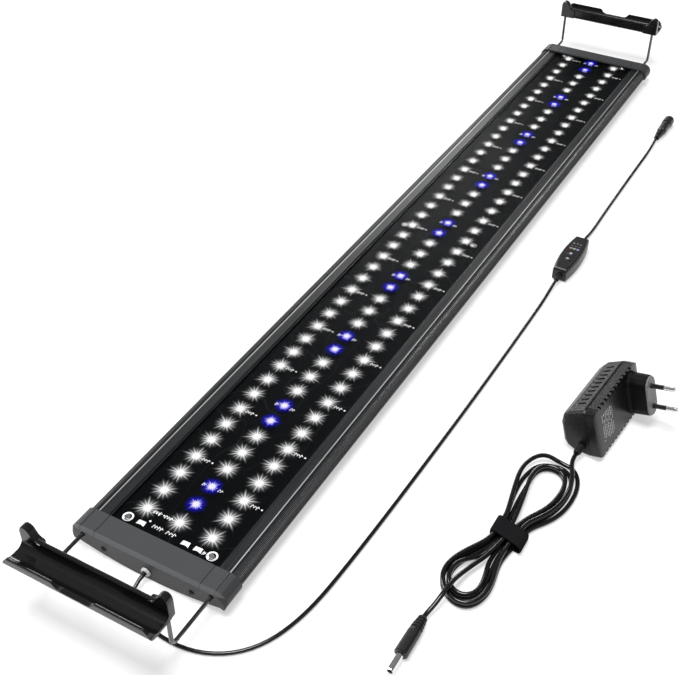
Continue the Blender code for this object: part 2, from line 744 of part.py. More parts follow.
def make_controller(finishes):
    """The inline timer and dimmer: two shells, a fascia film, a board, two buttons and two strain reliefs."""
    shell, dark = finishes["shell"], finishes["button"]
    middle = CONTROL_HEIGHT / 2.0
    lower = [(2.2, 0.1), (0.6, 0.9), (0.0, 2.4), (0.0, middle - 0.15)]
    upper = [(0.0, middle + 0.15), (0.0, CONTROL_HEIGHT - 2.6), (0.9, CONTROL_HEIGHT - 0.7), (1.9, CONTROL_HEIGHT)]
    bottom = add_object("controller_lower_shell", control_shell(lower), shell)
    top = add_object("controller_upper_shell", control_shell(upper), shell)
    x_low, x_high = CONTROL_X
    room = block((x_low + 6.0, CONTROL_Y - 5.6, 1.8), (x_high - 6.0, CONTROL_Y + 5.6, middle + 1.0))
    combine(bottom, "controller_lower_room", room, "DIFFERENCE")
    room = block((x_low + 6.0, CONTROL_Y - 5.6, middle - 1.0), (x_high - 6.0, CONTROL_Y + 5.6, CONTROL_HEIGHT - 2.2))
    combine(top, "controller_upper_room", room, "DIFFERENCE")
    wells = []
    for x in BUTTON_X:
        wells.append(prism(oval(x, 4.3, 2.6), [], CONTROL_HEIGHT - 3.0, CONTROL_HEIGHT + 1.0, "Z"))
    combine(top, "controller_button_wells", merged(*wells), "DIFFERENCE")
    for cutter_name, target in (("controller_lower_ports", bottom), ("controller_upper_ports", top)):
        port = prism(circle(CONTROL_Y, CONTROL_CORD_Z, 3.1, 12), [], x_low - 5.0, x_high + 5.0, "X")
        combine(target, cutter_name, port, "DIFFERENCE")
    board = block((x_low + 7.0, CONTROL_Y - 5.0, 9.5), (x_high - 7.0, CONTROL_Y + 5.0, 10.6))
    add_object("controller_board", board, finishes["board"], smooth=False)
    for x, word in zip(BUTTON_X, ("power", "timer")):
        origin = (x, CONTROL_Y, CONTROL_HEIGHT)
        make_button(f"button_{word}", x, origin, dark)
    for end, word, face in ((-1, "inlet", x_low), (1, "outlet", x_high)):
        make_strain_relief(f"controller_{word}_relief", end, face, dark)


def oval(x, half_length, half_width):
    """An oval key lying across the controller."""
    count = 14
    return [
        (x + half_width * cos(2.0 * pi * i / count), CONTROL_Y + half_length * sin(2.0 * pi * i / count))
        for i in range(count)
    ]


def make_button(name, x, origin, material):
    """A key cap with a stem that works the switch under it."""
    top = CONTROL_HEIGHT + 0.45
    low = CONTROL_HEIGHT - 1.6
    loops = []
    for size, z in ((3.95, low), (3.95, top - 0.4), (3.5, top)):
        loops.append([(u, v, z) for u, v in oval(x, size, size - 1.7)])
    cap = add_object(name, loft(loops), material, origin)
    slide = add_empty(f"{name}_slide", origin)
    attach(cap, slide)


def make_strain_relief(name, end, face, material):
    """A stepped rubber sleeve where the cord enters the controller."""
    profile = [(-3.0, 1.8), (-3.0, 2.8), (1.6, 2.8), (1.8, 2.3), (2.8, 2.3), (3.0, 2.7), (4.4, 2.6)]
    profile += [(4.6, 2.2), (5.6, 2.2), (5.8, 2.5), (7.2, 2.4), (7.4, 1.8)]
    profile = [(end * along, radius) for along, radius in profile]
    shape = turned(profile, "X", (face, CONTROL_Y, CONTROL_CORD_Z), 10, hollow=True)
    add_object(name, shape, material)


def make_jack(finishes):
    """The socket on the end of the light's cord: a ribbed tail, a body and a rounded head, with its contact."""
    profile = [(0.0, 1.7), (0.0, 2.8)]
    for i in range(4):
        start = 1.0 + 4.0 * i
        radius = 3.0 + 0.4 * i
        profile += [(start, radius), (start + 2.2, radius), (start + 2.4, radius - 0.6), (start + 3.8, radius - 0.6)]
    profile += [(18.0, 4.9), (34.0, 5.2), (34.4, 4.7), (35.6, 4.7), (36.0, 5.7), (45.5, 5.7), (47.8, 4.9), (48.6, 3.6)]
    profile += [(48.6, 3.1), (36.5, 3.1), (36.5, 1.7)]
    body = turned(profile, "X", (JACK_X, JACK_Y, JACK_Z), 14, hollow=True)
    add_object("dc_socket_body", body, finishes["plug"])
    contact = [(20.0, 0.0), (20.0, 1.3), (46.0, 1.0), (46.6, 0.0)]
    add_object("dc_socket_pin", turned(contact, "X", (JACK_X, JACK_Y, JACK_Z), 10), finishes["metal"])
    sleeve = [(37.0, 2.2), (37.0, 2.8), (47.6, 2.8), (47.6, 2.45), (40.0, 2.45), (40.0, 2.2)]
    spring = turned(sleeve, "X", (JACK_X, JACK_Y, JACK_Z), 12, hollow=True)
    add_object("dc_socket_contact", spring, finishes["metal"])


# ---------------------------------------------------------------- adapter and its cord


def adapter_matrix():
    """Turns the adapter's own frame (length, depth, height) to where it leans on the surface."""
    turn = Matrix.Rotation(radians(ADAPTER_TURN), 4, "Z")
    lean = Matrix.Rotation(radians(-ADAPTER_LEAN), 4, "X")
    return Matrix.Translation(Vector(ADAPTER_AT)) @ turn @ lean


def add_adapter_object(name, shape, material, smooth=True):
    bmesh.ops.transform(shape, matrix=adapter_matrix(), verts=shape.verts)
    return add_object(name, shape, material, smooth=smooth)


def adapter_section(depth_low, depth_high, x, corner):
    """A side-on slice of the case at one place along it: depth against height, tapering to the back."""
    slope = sin(radians(ADAPTER_LEAN)) / cos(radians(ADAPTER_LEAN))
    flat = 10.0

    def lower(depth):
        return max(0.0, depth - flat) * slope

    points = [(depth_low, lower(depth_low) + corner * 0.4)]
    if depth_low < flat < depth_high:
        points.append((flat, 0.0))
    radius = 7.0 if depth_high > 20.0 else 0.0
    if radius > 0.0:
        points.append((depth_high - radius, lower(depth_high - radius)))
        points.append((depth_high - 0.3 * radius, lower(depth_high) + 0.25 * radius))
        points.append((depth_high, lower(depth_high) + radius))
    else:
        points.append((depth_high, lower(depth_high)))
    upper = [(depth, ADAPTER_HEIGHT - height) for depth, height in reversed(points)]
    return [(x, depth, height) for depth, height in points + upper]


def shrunk(section, x, centre_depth, amount):
    """A smaller copy of a section, for the rounded ends of the case."""
    low = ADAPTER_HEIGHT / 2.0
    made = []
    for _, depth, height in section:
        scale_height = 1.0 - amount / low
        scale_depth = 1.0 - 0.6 * amount / 15.0
        made.append((x, centre_depth + (depth - centre_depth) * scale_depth, low + (height - low) * scale_height))
    return made


def adapter_case(depth_low, depth_high, centre_depth):
    base = adapter_section(depth_low, depth_high, 0.0, 1.0)
    stations = ((0.0, 3.6), (1.4, 1.5), (4.0, 0.3), (7.0, 0.0), (ADAPTER_LENGTH - 12.0, 0.0))
    stations += ((ADAPTER_LENGTH - 6.0, 0.9), (ADAPTER_LENGTH - 2.0, 3.2), (ADAPTER_LENGTH, 6.4))
    return loft([shrunk(base, x, centre_depth, amount) for x, amount in stations])


def make_adapter(finishes):
    """The wall adapter: back and front shells, plug block, pins, transformer, board and strain relief."""
    shell = finishes["adapter"]
    back = add_adapter_object("adapter_back_shell", adapter_case(8.2, ADAPTER_DEPTH, 8.2), shell)
    front = add_adapter_object("adapter_front_shell", adapter_case(0.0, 7.9, 7.9), shell)
    room = block((5.0, 8.0, 8.0), (ADAPTER_LENGTH - 8.0, ADAPTER_DEPTH - 5.0, ADAPTER_HEIGHT - 8.0))
    cut_adapter(back, "adapter_room", room)
    ribs = []
    for side in (0, 1):
        for i in range(10):
            x = 12.0 + 5.6 * i
            low, high = (-3.0, 3.2) if side == 0 else (ADAPTER_HEIGHT - 3.2, ADAPTER_HEIGHT + 3.0)
            ribs.append(block((x, 13.0, low), (x + 2.0, 24.5, high)))
    cut_adapter(back, "adapter_rib_grooves", merged(*ribs))
    notches = []
    for side in (0, 1):
        for i in range(11):
            x = 9.0 + 5.4 * i
            height = -1.0 if side == 0 else ADAPTER_HEIGHT - 2.2
            notches.append(block((x, -1.0, height), (x + 2.2, 2.0, height + 3.2)))
    cut_adapter(front, "adapter_edge_notches", merged(*notches))
    make_plug_block(finishes)
    core = block((24.0, 10.0, 11.0), (50.0, 22.0, 32.0), 0.6)
    add_adapter_object("adapter_transformer", core, finishes["dark_metal"])
    board = block((8.0, 11.0, 9.0), (21.0, 12.6, 34.0))
    add_adapter_object("adapter_board", board, finishes["board"], smooth=False)
    make_adapter_relief(back, front, finishes["button"])


def cut_adapter(target, name, shape):
    bmesh.ops.transform(shape, matrix=adapter_matrix(), verts=shape.verts)
    combine(target, name, shape, "DIFFERENCE")


def stadium(centre_x, centre_z, half_x, half_z, depth):
    """A tall outline with round ends, in the plane of the plug face."""
    points = []
    for start, shift in ((0.0, half_z - half_x), (180.0, half_x - half_z)):
        for i in range(7):
            angle = radians(start + 30.0 * i)
            points.append((centre_x + half_x * cos(angle), -depth, centre_z + shift + half_x * sin(angle)))
    return points


def make_plug_block(finishes):
    """The plug that stands on the front shell, its end plate, and the two pins through the plate."""
    x, z = 62.0, ADAPTER_HEIGHT / 2.0
    sizes = ((GAP, 9.4, 19.0), (3.0, 8.4, 18.2), (15.2, 8.0, 17.8))
    block_loops = [stadium(x, z, half_x, half_z, depth) for depth, half_x, half_z in sizes]
    add_adapter_object("plug_block", loft(block_loops), finishes["clip"])
    plate_sizes = ((15.5, 7.7, 17.5), (16.4, 7.5, 17.3), (17.0, 6.9, 16.7))
    plate_loops = [stadium(x, z, half_x, half_z, depth) for depth, half_x, half_z in plate_sizes]
    plate = add_adapter_object("plug_end_plate", loft(plate_loops), finishes["plate"])
    holes = [prism(circle(x, z + side * 9.5, 2.2, 12), [], -18.5, -14.9, "Y") for side in (-1, 1)]
    cut_adapter(plate, "plate_pin_holes", merged(*holes))
    for side, word in ((-1, "lower"), (1, "upper")):
        profile = [(-15.5, 0.0), (-15.5, 1.9), (-27.5, 1.9), (-27.6, 2.0), (-35.0, 2.0), (-36.4, 1.2), (-36.6, 0.0)]
        pin = turned(profile, "Y", (x, 0.0, z + side * 9.5), 12)
        add_adapter_object(f"plug_pin_{word}", pin, finishes["metal"])


def make_adapter_relief(back, front, material):
    """The ribbed sleeve where the lead leaves the end of the case."""
    for target, name in ((back, "adapter_back_port"), (front, "adapter_front_port")):
        opening = prism(circle(RELIEF_DEPTH, RELIEF_HEIGHT, 2.9, 10), [], -4.0, 8.0, "X")
        cut_adapter(target, name, opening)
    profile = [(5.0, 2.05), (5.0, 2.6), (-0.2, 2.6), (-0.4, 3.5)]
    for i in range(3):
        start = -0.4 - 2.4 * i
        radius = 3.5 - 0.2 * i
        profile += [(start - 0.2, radius), (start - 1.4, radius), (start - 1.6, radius - 0.6), (start - 2.3, radius - 0.6)]
    profile += [(-8.6, 2.4), (-8.6, 2.05)]
    shape = turned(profile, "X", (0.0, RELIEF_DEPTH, RELIEF_HEIGHT), 10, hollow=True)
    add_adapter_object("adapter_strain_relief", shape, material)


def denser(points):
    """A closed loop with one more point on the curve between each two."""
    loop = np.array(points)
    between = 9.0 * (loop + np.roll(loop, -1, 0)) - np.roll(loop, 1, 0) - np.roll(loop, -2, 0)
    return np.stack([loop, between / 16.0], axis=1).reshape(-1, 2)


def grown(loop, amount):
    """A clockwise loop moved outwards."""
    along = np.roll(loop, -1, 0) - np.roll(loop, 1, 0)
    outward = np.stack([-along[:, 1], along[:, 0]], axis=1) / np.linalg.norm(along, axis=1)[:, None]
    return loop + amount * outward


def tie_outline(half_length, half_width):
    """The tie's plan: a band across the hank whose sides lean."""
    corners = rectangle(-half_length, half_length, -half_width, half_width)
    return [(TIE_AT[0] + u + TIE_SLANT * v, TIE_AT[1] + v) for u, v in corners]


def make_hank(finishes):
    """The folded lead as one solid, and the hook-and-loop tie round its waist."""
    outline = grown(denser(HANK_ROUTE), LEAD_RADIUS + 0.15).tolist()
    add_object("lead_hank", prism(outline, [], 0.4, HANK_HEIGHT, "Z"), finishes["cord"])
    band = prism(tie_outline(7.8, 13.4), [], 0.0, HANK_HEIGHT + 1.4, "Z")
    tie = add_object("hook_and_loop_tie", band, finishes["fabric"])
    hole = prism(tie_outline(20.0, 12.3), [], 0.2, HANK_HEIGHT + 0.3, "Z")
    combine(tie, "tie_hole", hole, "DIFFERENCE")


def make_dc_plug(finishes):
    """The barrel plug on the lead: a ribbed tail, a body, and the metal barrel with its insulating ring."""
    profile = [(0.0, 2.0), (0.0, 3.1)]
    for i in range(4):
        start = -0.6 - 2.6 * i
        radius = 3.4 + 0.35 * i
        profile += [(start, radius), (start - 1.5, radius), (start - 1.7, radius - 0.6), (start - 2.4, radius - 0.6)]
    profile += [(-11.4, 4.5), (-13.5, 4.7), (-31.6, 4.9), (-32.2, 4.3), (-32.2, 2.9), (-30.0, 2.9), (-30.0, 2.0)]
    body = turned(profile, "X", (PLUG_X, PLUG_Y, PLUG_Z), 14, hollow=True)
    add_object("dc_plug_body", body, finishes["plug"])
    barrel = [(-30.4, 2.0), (-30.4, 2.6), (-45.9, 2.6), (-46.5, 2.4), (-46.5, 2.0)]
    shape = turned(barrel, "X", (PLUG_X, PLUG_Y, PLUG_Z), 12, hollow=True)
    add_object("dc_plug_barrel", shape, finishes["metal"])
    liner = [(-31.0, 1.1), (-31.0, 1.7), (-46.0, 1.7), (-46.0, 1.1)]
    shape = turned(liner, "X", (PLUG_X, PLUG_Y, PLUG_Z), 10, hollow=True)
    add_object("dc_plug_liner", shape, finishes["button"])


def make_cords(material):
    """The free cords: light to controller, controller to socket, adapter to hank, and hank to plug."""
    add_tube("cord_light_to_controller", smooth_route(CORD_ROUTE, 9.5), CORD_RADIUS, material)
    add_tube("cord_controller_to_socket", smooth_route(TAIL_ROUTE, 9.5), CORD_RADIUS, material)
    add_tube("lead_adapter_to_hank", smooth_route(LEAD_ROUTE, 4.0), LEAD_RADIUS, material)
    add_tube("lead_hank_to_plug", smooth_route(FREE_ROUTE, 4.5), LEAD_RADIUS, material)


def make_finishes():
    return {
        "aluminium": finish("black_anodised", (0.035, 0.036, 0.038), 0.42, 0.6),
        "cap": finish("grey_plastic", (0.075, 0.076, 0.08), 0.45),
        "clip": finish("black_plastic", (0.012, 0.012, 0.013), 0.35),
        "wire": finish("dark_steel", (0.09, 0.09, 0.095), 0.3, 0.9),
        "board": finish("board_black", (0.01, 0.011, 0.011), 0.4),
        "cover": finish("clear_acrylic", (0.9, 0.93, 0.95), 0.05),
        "screw": finish("bright_steel", (0.6, 0.6, 0.62), 0.25, 1.0),
        "rubber": finish("black_rubber", (0.02, 0.02, 0.02), 0.7),
        "pale": finish("pale_plastic", (0.6, 0.6, 0.6), 0.5),
        "cord": finish("cord_black", (0.015, 0.015, 0.016), 0.4),
        "shell": finish("controller_black", (0.02, 0.02, 0.022), 0.4),
        "button": finish("button_black", (0.015, 0.015, 0.015), 0.5),
        "plug": finish("plug_black", (0.02, 0.02, 0.02), 0.4),
        "adapter": finish("adapter_black", (0.03, 0.03, 0.032), 0.38),
        "plate": finish("plate_grey", (0.25, 0.25, 0.26), 0.4),
        "metal": finish("nickel", (0.75, 0.75, 0.76), 0.2, 1.0),
        "dark_metal": finish("core_steel", (0.2, 0.2, 0.2), 0.5, 0.8),
        "fabric": finish("tie_fabric", (0.015, 0.015, 0.015), 0.9),
    }


def main():
    clear_scene()
    finishes = make_finishes()
    make_housing(finishes["aluminium"])
    make_board(finishes["board"])
    make_board_screws(finishes["screw"])
    make_cover(finishes["cover"])
    make_end_cap("near_end_cap", -1, finishes["cap"])
    make_end_cap("far_end_cap", 1, finishes["cap"])
    make_cap_screws(finishes["screw"])
    make_grommet(finishes["pale"])
    make_cord_anchor(finishes["rubber"])
    make_wire_guides(finishes["rubber"])
    make_bracket("near", -1, finishes)
    make_bracket("far", 1, finishes)
    make_cords(finishes["cord"])
    make_controller(finishes)
    make_jack(finishes)
    make_adapter(finishes)
    make_hank(finishes)
    make_dc_plug(finishes)


main()
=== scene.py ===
from math import cos, pi, radians, sin

import bmesh
import bpy
import numpy as np
from mathutils import Euler, Matrix, Vector


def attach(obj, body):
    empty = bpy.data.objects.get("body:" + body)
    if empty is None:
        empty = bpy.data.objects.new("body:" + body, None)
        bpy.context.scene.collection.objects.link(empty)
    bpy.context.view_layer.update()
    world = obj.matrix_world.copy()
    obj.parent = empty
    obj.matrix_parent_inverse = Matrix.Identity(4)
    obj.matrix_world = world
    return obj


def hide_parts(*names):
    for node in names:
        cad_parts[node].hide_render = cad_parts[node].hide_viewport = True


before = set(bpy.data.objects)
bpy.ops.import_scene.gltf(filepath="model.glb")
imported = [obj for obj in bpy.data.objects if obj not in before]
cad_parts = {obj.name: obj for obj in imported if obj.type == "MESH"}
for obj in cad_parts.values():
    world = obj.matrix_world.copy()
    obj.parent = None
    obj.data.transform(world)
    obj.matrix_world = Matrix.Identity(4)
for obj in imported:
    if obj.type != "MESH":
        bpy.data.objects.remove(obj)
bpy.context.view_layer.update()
MM = 0.001

CAMERA_AT = (-0.78136, -0.35746, 0.6073)
CAMERA_TURN = (50.52999, 0.46745, -60.02616)  # in degrees
CAMERA_LENS = 58.69  # in millimetres, on a sensor 36 mm wide
FLOOR_HALF = 6

# Grid of LEDs on the board, in metres
PITCH = 0.0196
ROW = 0.028
FIRST = -0.3944
COLUMNS = 43
BOARD_TOP = 0.0161
PHOSPHOR = (0.0018, 0.0020)  # radius of the dome in each LED package

# Bursts that the LEDs draw on the cover, in metres from each LED
BURST_SHORT = 0.0058
BURST_SPREAD = 0.0072
BURST_CORE = (0.0020, 0.0036)
BURST_HAZE = (0.0010, 0.0108)
BURST_DEEP = (0.0018, 0.0096)  # the blue LEDs' wider halo
BURST_SIZES = (1.06, 0.76)  # at the light's near and far ends
BURST_ENDS = (-0.42, 0.42)

# Adapter's own frame: length along, depth from the plug face, height
ADAPTER_AT = (-0.178, -0.2316, 0.00278)
ADAPTER_TURN = -5.2
ADAPTER_LEAN = 16.0

BODY_MIDDLE = 0.01065
RIB_RADIUS = 0.006  # the ribbed round side of the extrusion
RIB_CENTRE = (0.0585, 0.0123)
BEAD_INNER = (0.0550, 0.0553)  # the bead's edges, by distance from the light's middle line
BEAD_OUTER = (0.0561, 0.0563)
RIM = (0.0172, 0.0174)  # only what is higher than this belongs to the bead or the cap's chamfer
COVER_TOP = (0.0179, 0.0181)
CAP_CHAMFER = 0.4424  # distance from the body's middle where the cap's chamfer starts
SLEEVE_END = (-0.0277, -0.0275)  # where the pins' black sleeves end, by depth in the adapter's frame
CONTROL_Y = -0.1189
CONTROL_TOP = 0.014
LAMP_ROWS = (-0.1157, -0.1190, -0.1223)
LAMP_X = 0.0602
KEY_TOP = CONTROL_TOP + 0.00045
INK = 0.00004  # how far print stands off the surface below it
SOLDER_PAD = (
    (-0.0036, 0.0033), (0.0004, 0.0030), (0.0006, -0.0029), (-0.0038, -0.0034), (-0.0029, -0.0002)
)
TIE_AT = (-279.6, -200.2, 4.62)  # in millimetres
TIE_SLANT = 0.24
TIE_HALF = (13.2, 4.5)  # half its width across the hank, and half its height
TIE_THICKNESS = 0.0009
TIE_SIDES = 40

# Routes of the cords, in millimetres. Each starts where its cord comes into sight and follows the CAD
# route, except for the adapter's lead. That enters the hank on a slightly different line from the CAD's,
# and its free end lies up to 4 mm lower than its CAD solid, to pass under the tie.
CORD_ROUTE = (
    (-436.1, 0.0, 7.8),
    (-439.0, 0.0, 7.75),
    (-442.0, 0.0, 7.4),
    (-448.0, -0.4, 5.6),
    (-454.0, -2.4, 3.2),
    (-459.8, -8.0, 1.8),
    (-464.6, -18.5, 1.6),
    (-467.4, -33.0, 1.6),
    (-468.3, -48.0, 1.6),
    (-466.2, -63.0, 1.6),
    (-459.6, -78.5, 1.6),
    (-449.0, -91.2, 1.6),
    (-435.0, -100.4, 1.6),
    (-418.5, -106.4, 1.6),
    (-400.0, -110.2, 1.6),
    (-366.0, -113.2, 1.6),
    (-310.0, -115.5, 1.6),
    (-240.0, -117.2, 1.6),
    (-165.0, -118.4, 1.6),
    (-90.0, -118.9, 1.6),
    (-30.0, -118.9, 1.7),
    (-8.0, -118.9, 2.8),
    (5.0, -118.9, 4.8),
    (16.0, -118.9, 6.0),
    (26.0, -118.9, 6.0),
)
TAIL_ROUTE = (
    (90.0, -118.9, 6.0),
    (95.0, -118.9, 5.7),
    (101.0, -118.9, 4.6),
    (114.0, -118.6, 2.6),
    (135.0, -118.1, 1.7),
    (180.0, -117.8, 1.6),
    (235.0, -117.9, 1.6),
    (276.0, -118.2, 1.8),
    (292.0, -118.4, 3.0),
    (303.0, -118.4, 4.8),
    (314.0, -118.4, 5.75),
    (323.0, -118.4, 5.75),
)
LEAD_START = ((-184.6, -213.8, 8.2), (-189.5, -213.7, 7.9), (-195.0, -214.4, 7.2), (-201.5, -217.0, 6.4))
FREE_ROUTE = (
    (-287.2, -198.9, 6.1),
    (-298.0, -196.6, 6.0),
    (-308.9, -193.5, 6.0),
    (-318.0, -190.0, 6.1),
    (-326.5, -187.2, 6.6),
    (-333.0, -185.9, 8.2),
    (-340.0, -184.8, 9.4),
    (-347.5, -184.0, 9.6),
    (-353.0, -183.3, 9.1),
    (-358.0, -182.6, 8.0),
    (-363.5, -181.4, 6.5),
    (-368.5, -180.2, 5.4),
    (-373.2, -179.6, 4.95),
    (-380.2, -179.6, 4.95),
)
HANK_ROUTE = (
    (-195.1, -205.2),
    (-195.1, -212.0),
    (-198.2, -218.2),
    (-206.5, -223.8),
    (-225.3, -226.7),
    (-245.6, -223.0),
    (-257.0, -216.9),
    (-269.5, -209.8),
    (-277.4, -208.7),
    (-289.0, -206.4),
    (-306.0, -204.4),
    (-318.5, -206.1),
    (-331.0, -207.2),
    (-342.0, -205.0),
    (-348.6, -200.0),
    (-350.4, -194.8),
    (-348.5, -186.6),
    (-341.9, -179.1),
    (-333.2, -174.8),
    (-317.5, -176.3),
    (-300.8, -184.7),
    (-287.3, -190.4),
    (-276.5, -191.2),
    (-265.0, -191.2),
    (-252.0, -189.1),
    (-232.0, -185.2),
    (-216.0, -183.6),
    (-205.0, -186.0),
    (-197.6, -191.0),
    (-194.9, -198.0),
)
HANK_START = 3  # the point of the loop where the lead comes in
HANK_SPACING = 3.0
LANE_STEP = 3.6  # distance between neighbouring turns, in millimetres
LANE_LOOSE = 4.3  # the turns spread out in the lobe by the adapter
LANE_LOW = 2.2  # heights of the two layers of turns
LANE_HIGH = 5.85


# ---------------------------------------------------------------- camera, light and floor


def add_camera():
    data = bpy.data.cameras.new("camera")
    data.sensor_width = 36.0
    data.lens = CAMERA_LENS
    camera = bpy.data.objects.new("camera", data)
    camera.location = CAMERA_AT
    camera.rotation_euler = Euler([radians(angle) for angle in CAMERA_TURN], "XYZ")
    bpy.context.scene.collection.objects.link(camera)
    bpy.context.scene.camera = camera


def add_area_light(name, place, target, size, power):
    data = bpy.data.lights.new(name, "AREA")
    data.shape = "RECTANGLE"
    data.size, data.size_y = size
    data.energy = power
    light = bpy.data.objects.new(name, data)
    light.location = place
    light.rotation_euler = (Vector(target) - Vector(place)).to_track_quat("-Z", "Y").to_euler()
    bpy.context.scene.collection.objects.link(light)


def add_studio():
    world = bpy.data.worlds.new("studio")
    world.use_nodes = True
    world.node_tree.nodes["Background"].inputs["Color"].default_value = (1.0, 1.0, 1.0, 1.0)
    world.node_tree.nodes["Background"].inputs["Strength"].default_value = 0.22
    bpy.context.scene.world = world
    bpy.context.scene.view_settings.view_transform = "Standard"
    add_area_light("soft_box", (-0.4, 0.0, 2.2), (-0.3, 0.0, 0.0), (1.0, 1.0), 52.0)
    add_area_light("key_light", (-0.6, 1.9, 0.9), (-0.2, 0.0, 0.0), (1.4, 0.4), 34.0)
    add_area_light("far_strip", (1.3, 0.9, 0.6), (-0.1, -0.1, 0.0), (0.8, 0.3), 10.0)


def add_floor():
    mesh = bpy.data.meshes.new("floor")
    corners = [(FLOOR_HALF * a, FLOOR_HALF * b, 0) for a, b in ((-1, -1), (1, -1), (1, 1), (-1, 1))]
    mesh.from_pydata(corners, [], [(0, 1, 2, 3)])
    floor = bpy.data.objects.new("floor", mesh)
    bpy.context.scene.collection.objects.link(floor)
    material, shader, _ = new_material("floor_paper", (0.48, 0.48, 0.48), 0.9)
    shader.inputs["Specular IOR Level"].default_value = 0.1
    shader.inputs["Emission Color"].default_value = (1.0, 1.0, 1.0, 1.0)
    shader.inputs["Emission Strength"].default_value = 0.52
    mesh.materials.append(material)


# ---------------------------------------------------------------- materials


class Shade:
    """Adds nodes to one material, and gives back the sockets that carry their results."""

    def __init__(self, tree):
        self.tree = tree

    def node(self, kind, **values):
        made = self.tree.nodes.new(kind)
        for name, value in values.items():
            setattr(made, name, value)
        return made

    def feed(self, socket, value):
        if isinstance(value, bpy.types.NodeSocket):
            self.tree.links.new(value, socket)
        else:
            socket.default_value = value

    def math(self, operation, *values):
        made = self.node("ShaderNodeMath", operation=operation)
        for socket, value in zip(made.inputs, values):
            self.feed(socket, value)
        return made.outputs[0]

    def step(self, value, low, high, start=0.0, end=1.0):
        """Runs smoothly from start to end while the value goes from low to high."""
        made = self.node("ShaderNodeMapRange", interpolation_type="SMOOTHSTEP")
        for number, item in enumerate((value, low, high, start, end)):
            self.feed(made.inputs[number], item)
        return made.outputs[0]

    def place(self):
        """The x, y and z of the point in the frame."""
        source = self.node("ShaderNodeTexCoord").outputs["Object"]
        split = self.node("ShaderNodeSeparateXYZ")
        self.feed(split.inputs[0], source)
        return source, split.outputs

    def noise(self, scale, stretch=(1.0, 1.0, 1.0), detail=2.0):
        source, _ = self.place()
        mapping = self.node("ShaderNodeMapping")
        self.feed(mapping.inputs["Vector"], source)
        mapping.inputs["Scale"].default_value = stretch
        made = self.node("ShaderNodeTexNoise")
        self.feed(made.inputs["Vector"], mapping.outputs[0])
        made.inputs["Scale"].default_value = scale
        made.inputs["Detail"].default_value = detail
        return made.outputs["Fac"]

    def mix(self, factor, first, second):
        made = self.node("ShaderNodeMix", data_type="RGBA")
        self.feed(made.inputs[0], factor)
        self.feed(made.inputs[6], first)
        self.feed(made.inputs[7], second)
        return made.outputs[2]

    def bump(self, height, distance, strength=1.0):
        made = self.node("ShaderNodeBump")
        self.feed(made.inputs["Height"], height)
        made.inputs["Distance"].default_value = distance
        made.inputs["Strength"].default_value = strength
        return made.outputs[0]


def new_material(name, color, roughness, metallic=0.0):
    material = bpy.data.materials.new(name)
    material.use_nodes = True
    shader = material.node_tree.nodes["Principled BSDF"]
    shader.inputs["Base Color"].default_value = (*color, 1.0)
    shader.inputs["Roughness"].default_value = roughness
    shader.inputs["Metallic"].default_value = metallic
    return material, shader, Shade(material.node_tree)


def scaled(color, factor):
    return (*[min(1.0, value * factor) for value in color], 1.0)


def surface(
    name, color, roughness, metallic=0.0, grain=(900.0, 0.00004), vary=0.15, stretch=(1, 1, 1), shine=0.5
):
    """A moulded, drawn or anodised finish: cloudy colour and gloss, with a fine grain."""
    material, shader, shade = new_material(name, color, roughness, metallic)
    shader.inputs["Specular IOR Level"].default_value = shine
    cloud = shade.noise(38.0, stretch, 4.0)
    tone = shade.mix(cloud, scaled(color, 1.0 - vary), scaled(color, 1.0 + vary))
    shade.feed(shader.inputs["Base Color"], tone)
    fine = shade.noise(grain[0], stretch, 3.0)
    spread = 0.2 * roughness
    matt = shade.step(fine, 0.3, 0.7, roughness - spread, roughness + spread)
    shade.feed(shader.inputs["Roughness"], matt)
    shade.feed(shader.inputs["Normal"], shade.bump(fine, grain[1]))
    return material


def cap_material():
    """Grained black plastic, with a painted highlight: a paler colour along the chamfer at the cap's
    outer end.
    """
    material = surface("cap_grain", (0.042, 0.043, 0.045), 0.46, 0.0, (1700.0, 0.00004), 0.05, shine=0.25)
    shader = material.node_tree.nodes["Principled BSDF"]
    shade = Shade(material.node_tree)
    plain = shader.inputs["Base Color"].links[0].from_socket
    _, (x, _, z) = shade.place()
    # Painted highlight: the chamfer at each cap's outer end gets a paler colour, standing in for light
    # falling on it.
    reach = shade.math("ABSOLUTE", shade.math("SUBTRACT", x, BODY_MIDDLE))
    end = shade.step(reach, CAP_CHAMFER - 0.0001, CAP_CHAMFER + 0.0001)
    edge = shade.math("MULTIPLY", end, shade.step(z, *RIM))
    shade.feed(shader.inputs["Base Color"], shade.mix(edge, plain, (0.105, 0.107, 0.11, 1.0)))
    return material


def fabric_material():
    """Short-pile hook-and-loop tape."""
    material, shader, shade = new_material("tie_tape", (0.012, 0.012, 0.013), 0.95)
    pile = shade.noise(2600.0, (1.0, 1.0, 1.0), 4.0)
    weave = shade.noise(700.0, (1.0, 3.0, 1.0), 2.0)
    height = shade.math("ADD", pile, weave)
    color = shade.mix(height, (0.0025, 0.0025, 0.0025, 1.0), (0.010, 0.010, 0.011, 1.0))
    shade.feed(shader.inputs["Base Color"], color)
    shade.feed(shader.inputs["Normal"], shade.bump(height, 0.0004))
    shader.inputs["Specular IOR Level"].default_value = 0.04
    return material


def print_material(name, color):
    """Screen-printed ink, a little uneven."""
    material, shader, shade = new_material(name, color, 0.6)
    patch = shade.noise(1500.0, (1.0, 1.0, 1.0), 2.0)
    shade.feed(shader.inputs["Base Color"], shade.mix(patch, scaled(color, 0.8), scaled(color, 1.1)))
    shade.feed(shader.inputs["Normal"], shade.bump(patch, 0.00002))
    return material


def lamp_material(name, color, strength):
    material, shader, shade = new_material(name, color, 0.3)
    glow = shade.noise(1200.0, (1.0, 1.0, 1.0), 1.0)
    shade.feed(shader.inputs["Emission Color"], shade.mix(glow, scaled(color, 0.7), scaled(color, 1.2)))
    shader.inputs["Emission Strength"].default_value = strength
    return material


